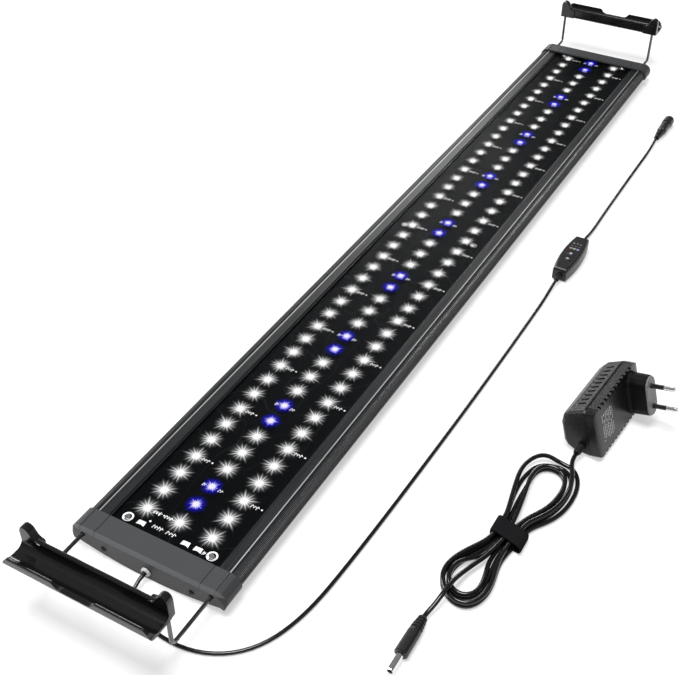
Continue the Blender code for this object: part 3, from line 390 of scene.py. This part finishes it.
def led_cell(shade):
    """The point's place in the nearest LED's cell, and which column and row that is."""
    _, (x, y, z) = shade.place()
    column = shade.math("ROUND", shade.math("DIVIDE", shade.math("SUBTRACT", x, FIRST), PITCH))
    column = shade.math("MINIMUM", shade.math("MAXIMUM", column, 0.0), COLUMNS - 1.0)
    row = shade.math("ROUND", shade.math("DIVIDE", y, ROW))
    row = shade.math("MINIMUM", shade.math("MAXIMUM", row, -1.0), 1.0)
    u = shade.math("SUBTRACT", shade.math("SUBTRACT", x, FIRST), shade.math("MULTIPLY", column, PITCH))
    v = shade.math("SUBTRACT", y, shade.math("MULTIPLY", row, ROW))
    return x, z, column, row, u, v


def length_in_cell(shade, u, v):
    squares = shade.math("ADD", shade.math("MULTIPLY", u, u), shade.math("MULTIPLY", v, v))
    return shade.math("SQRT", squares)


def is_blue(shade, column, row):
    """1 for the second and third of each five LEDs in the middle row."""
    phase = shade.math("MODULO", column, 5.0)
    near_pair = shade.math("COMPARE", phase, 1.5, 0.6)
    middle = shade.math("COMPARE", row, 0.0, 0.5)
    return shade.math("MULTIPLY", near_pair, middle)


def board_material():
    """Black solder mask with faint tracks, and the white LED packages that stand on it."""
    material, shader, shade = new_material("board_mask", (0.003, 0.0036, 0.004), 0.32)
    shader.inputs["Specular IOR Level"].default_value = 0.04
    _, z, column, row, u, v = led_cell(shade)
    package = shade.math("GREATER_THAN", z, BOARD_TOP + 0.0001)
    radius = length_in_cell(shade, u, v)
    phosphor = shade.step(radius, *PHOSPHOR, 1.0, 0.0)
    blue = is_blue(shade, column, row)
    dome = shade.mix(blue, (0.95, 0.8, 0.25, 1.0), (0.35, 0.45, 0.9, 1.0))
    face = shade.mix(phosphor, (0.8, 0.8, 0.78, 1.0), dome)
    tracks = shade.math("ABSOLUTE", shade.math("SUBTRACT", shade.noise(26.0, (1.0, 1.6, 1.0), 0.0), 0.5))
    track = shade.step(tracks, 0.0, 0.012, 1.0, 0.0)
    speckle = shade.noise(1800.0, (1.0, 1.0, 1.0), 2.0)
    mask = shade.mix(speckle, (0.001, 0.0014, 0.0018, 1.0), (0.0022, 0.0028, 0.0034, 1.0))
    mask = shade.mix(shade.math("MULTIPLY", track, 0.6), mask, (0.012, 0.013, 0.013, 1.0))
    shade.feed(shader.inputs["Base Color"], shade.mix(package, mask, face))
    shade.feed(shader.inputs["Roughness"], shade.step(speckle, 0.2, 0.8, 0.25, 0.42))
    light = shade.mix(blue, (1.0, 1.0, 1.0, 1.0), (0.3, 0.35, 1.0, 1.0))
    shade.feed(shader.inputs["Emission Color"], light)
    glow = shade.math("MULTIPLY", shade.math("MULTIPLY", package, phosphor), 1.5)
    shade.feed(shader.inputs["Emission Strength"], glow)
    height = shade.math("ADD", shade.math("MULTIPLY", speckle, 0.3), track)
    shade.feed(shader.inputs["Normal"], shade.bump(height, 0.00004))
    return material


def wave(shade, angle, count, phase):
    """A wave that runs count times round, from 0 to 1."""
    turned = shade.math("ADD", shade.math("MULTIPLY", angle, float(count)), phase)
    return shade.math("MULTIPLY_ADD", shade.math("COSINE", turned), 0.5, 0.5)


def burst(shade, angle, phase, size, radius):
    """One LED's burst: rays of uneven length round a hot core, and the haze between them."""
    fine = wave(shade, angle, 15, phase)
    broad = wave(shade, angle, 4, shade.math("MULTIPLY", phase, 3.0))
    odd = wave(shade, angle, 7, shade.math("MULTIPLY", phase, 5.0))
    uneven = shade.math("MULTIPLY_ADD", shade.math("ADD", broad, odd), 0.35, 0.35)
    reach = shade.math("MULTIPLY_ADD", shade.math("MULTIPLY", fine, uneven), BURST_SPREAD, BURST_SHORT)
    part = shade.math("DIVIDE", radius, shade.math("MULTIPLY", reach, size))
    ray = shade.step(part, 0.16, 1.05, 1.0, 0.0)
    core = shade.step(shade.math("DIVIDE", radius, size), *BURST_CORE, 1.0, 0.0)
    haze = shade.step(shade.math("DIVIDE", radius, size), *BURST_HAZE, 0.56, 0.0)
    ray = shade.math("POWER", shade.math("MAXIMUM", ray, haze), 1.9)
    return shade.math("MAXIMUM", ray, core)


def cover_material():
    """Clear sheet: it shines where each LED's light flares on it, and is nearly invisible elsewhere."""
    material, shader, shade = new_material("cover_clear", (0.004, 0.0045, 0.005), 0.08)
    shader.inputs["Specular IOR Level"].default_value = 0.04
    x, _, column, row, u, v = led_cell(shade)
    blue = is_blue(shade, column, row)
    radius = length_in_cell(shade, u, v)
    angle = shade.math("ARCTAN2", v, u)
    phase = shade.math("MULTIPLY", shade.math("ADD", column, shade.math("MULTIPLY", row, 2.3)), 2.4)
    size = shade.step(x, *BURST_ENDS, *BURST_SIZES)
    size = shade.math("MULTIPLY", size, shade.math("MULTIPLY_ADD", blue, -0.14, 1.0))
    bright = burst(shade, angle, phase, size, radius)
    deep = shade.math("POWER", shade.step(radius, *BURST_DEEP, 1.0, 0.0), 1.6)
    deep = shade.math("MULTIPLY", shade.math("MULTIPLY", deep, 0.72), blue)
    glow = shade.math("MAXIMUM", bright, deep)
    alpha = shade.math("MAXIMUM", glow, 0.05)
    top = shade.step(shade.place()[1][2], *COVER_TOP, 0.0, 1.0)
    alpha = shade.math("MULTIPLY", alpha, top)
    pale = shade.step(bright, 0.25, 1.0)
    tint = shade.mix(pale, (0.015, 0.008, 1.0, 1.0), (0.9, 0.84, 1.0, 1.0))
    light = shade.mix(blue, (1.0, 1.0, 1.0, 1.0), tint)
    shade.feed(shader.inputs["Emission Color"], light)
    strength = shade.math("DIVIDE", glow, shade.math("MAXIMUM", alpha, 0.02))
    shade.feed(shader.inputs["Emission Strength"], strength)
    shade.feed(shader.inputs["Alpha"], alpha)
    return material


def pin_material():
    """Nickel tips on pins whose roots are sleeved in black."""
    material, shader, shade = new_material("pin_nickel", (0.75, 0.75, 0.74), 0.18, 1.0)
    source, _ = shade.place()
    offset = shade.node("ShaderNodeVectorMath", operation="SUBTRACT")
    shade.feed(offset.inputs[0], source)
    offset.inputs[1].default_value = ADAPTER_AT
    depth = shade.node("ShaderNodeVectorMath", operation="DOT_PRODUCT")
    shade.feed(depth.inputs[0], offset.outputs[0])
    depth.inputs[1].default_value = adapter_matrix().to_3x3() @ Vector((0.0, 1.0, 0.0))
    tip = shade.step(depth.outputs["Value"], *SLEEVE_END, 1.0, 0.0)
    scratch = shade.noise(1300.0, (1.0, 0.15, 1.0), 3.0)
    metal = shade.mix(scratch, (0.6, 0.6, 0.6, 1.0), (0.85, 0.85, 0.84, 1.0))
    shade.feed(shader.inputs["Base Color"], shade.mix(tip, (0.006, 0.006, 0.006, 1.0), metal))
    shade.feed(shader.inputs["Metallic"], tip)
    shade.feed(shader.inputs["Roughness"], shade.step(scratch, 0.2, 0.8, 0.15, 0.35))
    shade.feed(shader.inputs["Normal"], shade.bump(scratch, 0.00002))
    return material


def housing_material():
    """Black anodised aluminium with fine drawn lines, and painted highlights: paler colour on the rib
    crests and along the bead.
    """
    material, shader, shade = new_material("anodised_black", (0.022, 0.023, 0.025), 0.34, 0.55)
    lines = shade.noise(1500.0, (0.01, 1.0, 1.0), 3.0)
    cloud = shade.noise(9.0, (0.4, 1.0, 1.0), 3.0)
    tone = shade.math("MULTIPLY_ADD", lines, 0.6, shade.math("MULTIPLY", cloud, 0.4))
    color = shade.mix(tone, (0.010, 0.0105, 0.0115, 1.0), (0.028, 0.029, 0.031, 1.0))
    _, (_, y, z) = shade.place()
    out = shade.math("ABSOLUTE", y)
    side = shade.math("POWER", shade.math("SUBTRACT", out, RIB_CENTRE[0]), 2.0)
    rise = shade.math("POWER", shade.math("SUBTRACT", z, RIB_CENTRE[1]), 2.0)
    radius = shade.math("SQRT", shade.math("ADD", side, rise))
    # Painted highlight: the crests of the outer ribs get a paler colour, standing in for light catching
    # them.
    painted_crest_highlight = shade.step(radius, RIB_RADIUS - 0.00022, RIB_RADIUS - 0.00008)
    painted_crest_highlight = shade.math("MULTIPLY", painted_crest_highlight, shade.step(out, RIB_CENTRE[0], RIB_CENTRE[0] + 0.001))
    color = shade.mix(painted_crest_highlight, color, (0.12, 0.122, 0.126, 1.0))
    # Painted highlight: a pale line along the top of the bead, standing in for light glinting on it.
    bead = shade.math("MULTIPLY", shade.step(out, *BEAD_INNER), shade.step(out, *BEAD_OUTER, 1.0, 0.0))
    bead = shade.math("MULTIPLY", bead, shade.step(z, *RIM))
    color = shade.mix(bead, color, (0.42, 0.425, 0.43, 1.0))
    shade.feed(shader.inputs["Base Color"], color)
    shade.feed(shader.inputs["Roughness"], shade.step(lines, 0.25, 0.75, 0.26, 0.44))
    shade.feed(shader.inputs["Normal"], shade.bump(lines, 0.00003))
    return material


def make_materials():
    return {
        "housing": housing_material(),
        "board": board_material(),
        "cover": cover_material(),
        "screw": surface("screw_zinc", (0.5, 0.5, 0.5), 0.3, 1.0, (1400.0, 0.00002)),
        "end_screw": surface("screw_black", (0.03, 0.03, 0.03), 0.3, 0.8, (1400.0, 0.00002)),
        "cap": cap_material(),
        "pale": surface("grommet_grey", (0.55, 0.55, 0.55), 0.5),
        "rubber": surface("rubber_black", (0.012, 0.012, 0.012), 0.6),
        "clip": surface("clip_gloss", (0.0045, 0.0045, 0.005), 0.2, 0.0, (1400.0, 0.000004), 0.05),
        "wire": surface(
            "wire_dark", (0.13, 0.13, 0.135), 0.13, 1.0, (1200.0, 0.00001), 0.2, (0.1, 1.0, 1.0)
        ),
        "cord": surface("cord_jacket", (0.004, 0.004, 0.0045), 0.16, 0.0, (1100.0, 0.00001), 0.1),
        "control": surface(
            "controller_shell", (0.009, 0.009, 0.0095), 0.32, 0.0, (2400.0, 0.00004), shine=0.4
        ),
        "key": surface("key_rubber", (0.008, 0.008, 0.0085), 0.45, 0.0, (1500.0, 0.00003)),
        "plug": surface("plug_moulded", (0.008, 0.008, 0.0085), 0.32, 0.0, (2600.0, 0.000003), 0.1),
        "adapter": surface(
            "adapter_shell", (0.006, 0.006, 0.0065), 0.3, 0.0, (1900.0, 0.00003), shine=0.3
        ),
        "block": surface("plug_block_black", (0.002, 0.002, 0.002), 0.5, shine=0.12),
        "plate": surface("plate_grey", (0.16, 0.16, 0.165), 0.45, 0.0, (1600.0, 0.00003), 0.1),
        "metal": surface("contact_nickel", (0.75, 0.75, 0.74), 0.15, 1.0, (1300.0, 0.00001), 0.1),
        "core": surface("core_varnish", (0.16, 0.14, 0.12), 0.5, 0.6),
        "inner_board": surface("inner_board_green", (0.02, 0.12, 0.05), 0.4),
        "pins": pin_material(),
        "tape": fabric_material(),
        "ink": print_material("white_ink", (0.85, 0.85, 0.85)),
        "label": print_material("label_ink", (0.55, 0.55, 0.55)),
        "red": lamp_material("lamp_red", (0.35, 0.02, 0.02), 0.6),
        "green": lamp_material("lamp_green", (0.05, 0.3, 0.08), 0.5),
        "blue": lamp_material("lamp_blue", (0.03, 0.05, 0.5), 0.6),
    }


NODE_FINISHES = (
    ("housing", ("housing_extrusion",)),
    ("board", ("led_circuit_board",)),
    ("cover", ("clear_splash_cover",)),
    ("screw", ("board_screw",)),
    ("end_screw", ("near_cap_screw", "far_cap_screw")),
    ("cap", ("near_end_cap", "far_end_cap")),
    ("pale", ("cord_grommet",)),
    ("rubber", ("cord_anchor", "near_wire_guide", "far_wire_guide")),
    ("clip", ("near_rim_clip", "far_rim_clip")),
    ("wire", ("near_wire_left", "near_wire_right", "far_wire_left", "far_wire_right")),
    ("wire", ("near_wire_stop", "far_wire_stop")),
    ("control", ("controller_lower_shell", "controller_upper_shell")),
    ("key", ("button_", "controller_inlet_relief", "controller_outlet_relief", "adapter_strain_relief")),
    ("key", ("dc_plug_liner",)),
    ("inner_board", ("controller_board", "adapter_board")),
    ("plug", ("dc_socket_body", "dc_plug_body")),
    ("metal", ("dc_socket_pin", "dc_socket_contact", "dc_plug_barrel")),
    ("adapter", ("adapter_back_shell", "adapter_front_shell")),
    ("block", ("plug_block",)),
    ("plate", ("plug_end_plate",)),
    ("pins", ("plug_pin_lower", "plug_pin_upper")),
    ("core", ("adapter_transformer",)),
)


def finish_nodes(finishes):
    for finish, starts in NODE_FINISHES:
        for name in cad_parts:
            if name.startswith(starts):
                node = bpy.data.objects[name]
                node.data.materials.clear()
                node.data.materials.append(finishes[finish])


# ---------------------------------------------------------------- cords


def evenly(line, count):
    """Points at even distances along a line."""
    travel = np.concatenate([[0.0], np.cumsum(np.linalg.norm(np.diff(line, axis=0), axis=1))])
    wanted = np.linspace(0.0, travel[-1], count)
    return np.stack([np.interp(wanted, travel, line[:, k]) for k in range(line.shape[1])], axis=1)


def spline(points, spacing, closed=False):
    """Points at even distances on a smooth curve through a route's own points."""
    knots = np.array(points, float)
    if closed:
        knots = np.concatenate([knots[-4:], knots, knots[:5]])
    steps = np.linalg.norm(np.diff(knots, axis=0), axis=1)
    count = len(knots)
    matrix = np.eye(count)
    right = np.zeros(knots.shape)
    for i in range(1, count - 1):
        before, after = steps[i - 1], steps[i]
        matrix[i, i - 1 : i + 2] = (before, 2.0 * (before + after), after)
        right[i] = 6.0 * ((knots[i + 1] - knots[i]) / after - (knots[i] - knots[i - 1]) / before)
    second = np.linalg.solve(matrix, right)
    dense = []
    used = range(4, count - 5) if closed else range(count - 1)
    for i in used:
        for b in np.linspace(0.0, 1.0, 24, endpoint=False):
            a = 1.0 - b
            bend = ((a**3 - a) * second[i] + (b**3 - b) * second[i + 1]) * steps[i] ** 2 / 6.0
            dense.append(a * knots[i] + b * knots[i + 1] + bend)
    dense.append(dense[0] if closed else knots[-1])
    dense = np.array(dense)
    length = np.sum(np.linalg.norm(np.diff(dense, axis=0), axis=1))
    return evenly(dense, max(3, int(length / spacing) + 1))


def ramp(value, low, high):
    t = np.clip((value - low) / (high - low), 0.0, 1.0)
    return t * t * (3.0 - 2.0 * t)


def lane_of(turn, at, around):
    """Where a turn runs: how many lanes in from the outside, and how high, from 0 to 1."""
    if turn == 0:
        return 1.0 - ramp(at, 60.0, 130.0), 1.0 - ramp(at, around - 38.0, around - 16.0)
    if turn in (1, 2):
        return turn - 1.0 + ramp(at, around - 105.0, around - 35.0), 0.0
    if turn == 3:
        fold = ramp(at, 120.0, 150.0) * (1.0 - ramp(at, 190.0, 220.0))
        return 2.0 - fold, max(fold, ramp(at, around - 160.0, around - 115.0))
    return 2.0, 1.0


def inner_loop(loop):
    """The innermost turn: inside the outer one, with its tight bends opened out."""
    along = np.roll(loop, -1, 0) - np.roll(loop, 1, 0)
    inward = np.stack([along[:, 1], -along[:, 0]], axis=1) / np.linalg.norm(along, axis=1)[:, None]
    step = LANE_STEP + (LANE_LOOSE - LANE_STEP) * ramp(loop[:, 0], -262.0, -235.0)
    line = loop + inward * 2.0 * step[:, None]
    for _ in range(3):
        line = evenly(np.concatenate([line, line[:1]]), len(loop) + 1)[:-1]
        for _ in range(4):
            line = 0.5 * line + 0.25 * (np.roll(line, 1, 0) + np.roll(line, -1, 0))
    return line


def hank_turns():
    """The turns of the folded lead, from the adapter's end until the last one passes the tie."""
    outer = spline(HANK_ROUTE[HANK_START:] + HANK_ROUTE[:HANK_START], HANK_SPACING, closed=True)[:-1]
    inner = inner_loop(outer)
    around = HANK_SPACING * len(outer)
    points = []
    for count in range(5 * len(outer)):
        turn, i = divmod(count, len(outer))
        if turn == 4 and outer[i][0] < -268.0:
            break
        lane, high = lane_of(turn, HANK_SPACING * i, around)
        spot = outer[i] + (inner[i] - outer[i]) * lane / 2.0
        points.append((spot[0], spot[1], LANE_LOW + (LANE_HIGH - LANE_LOW) * high))
    return points


def lead_points():
    coarse = list(LEAD_START) + hank_turns()[4::2] + list(FREE_ROUTE)
    return spline(coarse, 2.5)


def add_cord(name, points, radius, material):
    data = bpy.data.curves.new(name, "CURVE")
    data.dimensions = "3D"
    data.bevel_depth = radius
    data.bevel_resolution = 3
    data.use_fill_caps = True
    line = data.splines.new("POLY")
    line.points.add(len(points) - 1)
    for target, point in zip(line.points, points):
        target.co = (*(Vector(point) * MM), 1.0)
    line.use_smooth = True
    data.materials.append(material)
    cord = bpy.data.objects.new(name, data)
    bpy.context.scene.collection.objects.link(cord)
    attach(cord, "light")
    return cord


def make_cords(finishes):
    cord = finishes["cord"]
    points = spline(CORD_ROUTE, 6.0)
    main = add_cord("light_cord", points, 0.0015, cord)
    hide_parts("cord_light_to_controller")
    control = ["controller_lower_shell", "controller_upper_shell", "controller_inlet_relief"]
    control += ["controller_outlet_relief", "button_power", "button_timer"]
    points = spline(TAIL_ROUTE, 6.0)
    tail = add_cord("socket_cord", points, 0.0015, cord)
    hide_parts("cord_controller_to_socket")
    points = lead_points()
    lead = add_cord("adapter_lead", points, 0.00175, cord)
    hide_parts("lead_adapter_to_hank", "lead_hank", "lead_hank_to_plug")


# ---------------------------------------------------------------- small pieces


def add_piece(name, shape, material, body="light", smooth=False):
    mesh = bpy.data.meshes.new(name)
    shape.to_mesh(mesh)
    shape.free()
    if smooth:
        mesh.shade_smooth()
    mesh.materials.append(material)
    piece = bpy.data.objects.new(name, mesh)
    bpy.context.scene.collection.objects.link(piece)
    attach(piece, body)
    return piece


def add_patch(shape, corners, height):
    """A flat printed patch."""
    shape.faces.new([shape.verts.new((x, y, height)) for x, y in corners])


def add_bar(shape, x, y, length, width, turn, height):
    """A printed stroke through a point."""
    c, s = cos(radians(turn)), sin(radians(turn))
    corners = []
    for u, v in ((-length, -width), (length, -width), (length, width), (-length, width)):
        corners.append((x + (u * c - v * s) / 2.0, y + (u * s + v * c) / 2.0))
    add_patch(shape, corners, height)


def add_ring(shape, x, y, inner, outer, height, sides=24):
    loops = []
    for radius in (inner, outer):
        points = []
        for i in range(sides):
            angle = 2.0 * pi * i / sides
            points.append(shape.verts.new((x + radius * cos(angle), y + radius * sin(angle), height)))
        loops.append(points)
    for i in range(sides):
        j = (i + 1) % sides
        shape.faces.new((loops[0][i], loops[1][i], loops[1][j], loops[0][j]))


def add_strokes(shape, points, width, height):
    """A printed line through a row of points."""
    for (x0, y0), (x1, y1) in zip(points, points[1:]):
        length = ((x1 - x0) ** 2 + (y1 - y0) ** 2) ** 0.5
        turn = np.degrees(np.arctan2(y1 - y0, x1 - x0))
        add_bar(shape, (x0 + x1) / 2.0, (y0 + y1) / 2.0, length + width, width, float(turn), height)


def add_mark(shape, x, y, length, height):
    """A generic component mark: a few bold strokes in a row across the board."""
    count = max(2, round(length / 0.0024))
    step = length / count
    for k in range(count):
        at = y - step * (k + 0.5)
        reach = (0.0014, 0.0010, 0.0015)[k % 3]
        points = [(x - reach, at + step * 0.3), (x + reach, at + step * 0.1)]
        points.append((x + reach * 0.2, at - step * 0.4))
        add_strokes(shape, points, 0.0006, height + 0.00001 * (k % 2))


def make_board_print(finishes):
    """Rings round the screws, marks beside the LEDs, and the solder pads at the cord end."""
    shape = bmesh.new()
    height = BOARD_TOP + INK
    for x, wide in ((-0.4065, 0.0042), (0.0165, 0.0031), (0.4376, 0.0031)):
        for side in (-1, 1):
            add_ring(shape, x, side * 0.036, 0.0028, wide, height)
    for column in range(COLUMNS):
        x = FIRST + column * PITCH
        if column % 3 == 0:
            add_mark(shape, x + 0.001, 0.0235, 0.0070, height)
            add_ring(shape, x + 0.001, 0.0142, 0.0, 0.0008, height, 8)
        if column % 3 == 2:
            add_mark(shape, x, -0.0335, 0.0070, height)
            add_ring(shape, x, -0.0428, 0.0, 0.0008, height, 8)
        if column % 5 == 2:
            add_mark(shape, x + 0.0004, 0.0085, 0.0030, height)
            add_mark(shape, x + 0.0004, -0.0050, 0.0040, height)
    for y in (0.0243, -0.0138, -0.0243):
        add_patch(shape, [(x - 0.4050, y + across) for x, across in SOLDER_PAD], height)
    for y, length in ((0.0159, 0.0088), (0.0042, 0.0083)):
        add_mark(shape, -0.4047, y, length, height)
    for y, length in ((0.0227, 0.0066), (0.0134, 0.0065)):
        add_mark(shape, -0.3936, y, length, height)
    add_ring(shape, -0.4023, 0.0197, 0.0, 0.0009, height, 10)
    add_mark(shape, -0.4070, -0.0286, 0.0022, height)
    add_piece("board_print", shape, finishes["ink"])


def make_controller_print(finishes):
    """Icons on the keys, the indicator lamps with their outlines, and the level dots."""
    height = CONTROL_TOP + INK
    shape = bmesh.new()
    for y in LAMP_ROWS:
        add_ring(shape, LAMP_X, y, 0.0010, 0.0013, height, 16)
        add_ring(shape, 0.0690, y, 0.0003, 0.0006, height, 10)
        add_bar(shape, 0.0645, y, 0.0012, 0.0003, 90.0, height)
    add_piece("controller_print", shape, finishes["label"])
    for y, color in zip(LAMP_ROWS, ("red", "green", "blue")):
        shape = bmesh.new()
        add_ring(shape, LAMP_X, y, 0.0, 0.0009, height + 0.00002, 14)
        add_piece(f"indicator_{color}", shape, finishes[color])
    for x, word in ((0.0422, "power"), (0.0511, "timer")):
        shape = bmesh.new()
        top = KEY_TOP + 0.00003
        add_ring(shape, x, CONTROL_Y, 0.0008, 0.00115, top, 18)
        add_bar(shape, x + 0.0009, CONTROL_Y, 0.0013, 0.00035, 0.0, top + 0.00001)
        add_piece(f"{word}_icon", shape, finishes["ink"], f"{word}_button")


def adapter_matrix():
    turn = Matrix.Rotation(radians(ADAPTER_TURN), 4, "Z")
    lean = Matrix.Rotation(radians(-ADAPTER_LEAN), 4, "X")
    return Matrix.Translation(Vector(ADAPTER_AT)) @ turn @ lean


def make_label(finishes):
    """A generic rating panel: rows of plain strokes on the front shell."""
    shape = bmesh.new()
    for row in range(7):
        x = 0.0105 + 0.0026 * row
        height = 0.0345
        k = 0
        while height > 0.0105:
            stroke = (0.0014, 0.0024, 0.0010, 0.0019)[(row + 2 * k) % 4]
            if (3 * row + k) % 7 != 4:
                low = height - stroke
                corners = ((x, height), (x + 0.0011, height), (x + 0.0011, low), (x, low))
                shape.faces.new([shape.verts.new((a, -INK, b)) for a, b in corners])
            height -= stroke + 0.0007
            k += 1
    bmesh.ops.transform(shape, matrix=adapter_matrix(), verts=shape.verts)
    add_piece("adapter_label", shape, finishes["label"])


def make_tie(finishes):
    """The hook-and-loop tape round the waist of the hank, with its tail lapped over the top."""
    shape = bmesh.new()
    stations = (-7.8, -6.6, -3.0, 0.0, 3.0, 6.6, 7.8)
    rings = []
    for u in stations:
        edge = 0.35 if abs(u) > 7.0 else 0.0
        ring = []
        for i in range(TIE_SIDES):
            angle = 2.0 * pi * i / TIE_SIDES
            c, s = cos(angle), sin(angle)
            v = (TIE_HALF[0] - edge) * abs(c) ** 0.45 * (1.0 if c > 0.0 else -1.0)
            w = (TIE_HALF[1] - edge) * abs(s) ** 0.55 * (1.0 if s > 0.0 else -1.0)
            lap = 0.45 if s > 0.2 and c < 0.3 else 0.0
            x, y, z = TIE_AT[0] + u + TIE_SLANT * v, TIE_AT[1] + v, TIE_AT[2] + w - lap
            ring.append(shape.verts.new((x * MM, y * MM, z * MM)))
        rings.append(ring)
    for first, second in zip(rings, rings[1:]):
        for i in range(TIE_SIDES):
            j = (i + 1) % TIE_SIDES
            shape.faces.new((first[i], second[i], second[j], first[j]))
    tie = add_piece("tie_tape", shape, finishes["tape"], smooth=True)
    thick = tie.modifiers.new("thickness", "SOLIDIFY")
    thick.thickness = TIE_THICKNESS
    thick.offset = 1.0
    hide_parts("hook_and_loop_tie")
    return tie


def write_sizes():
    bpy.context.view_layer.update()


def main():
    add_camera()
    finishes = make_materials()
    tie = make_tie(finishes)
    make_cords(finishes)
    add_studio()
    add_floor()
    finish_nodes(finishes)
    make_board_print(finishes)
    make_controller_print(finishes)
    make_label(finishes)
    write_sizes()


main()
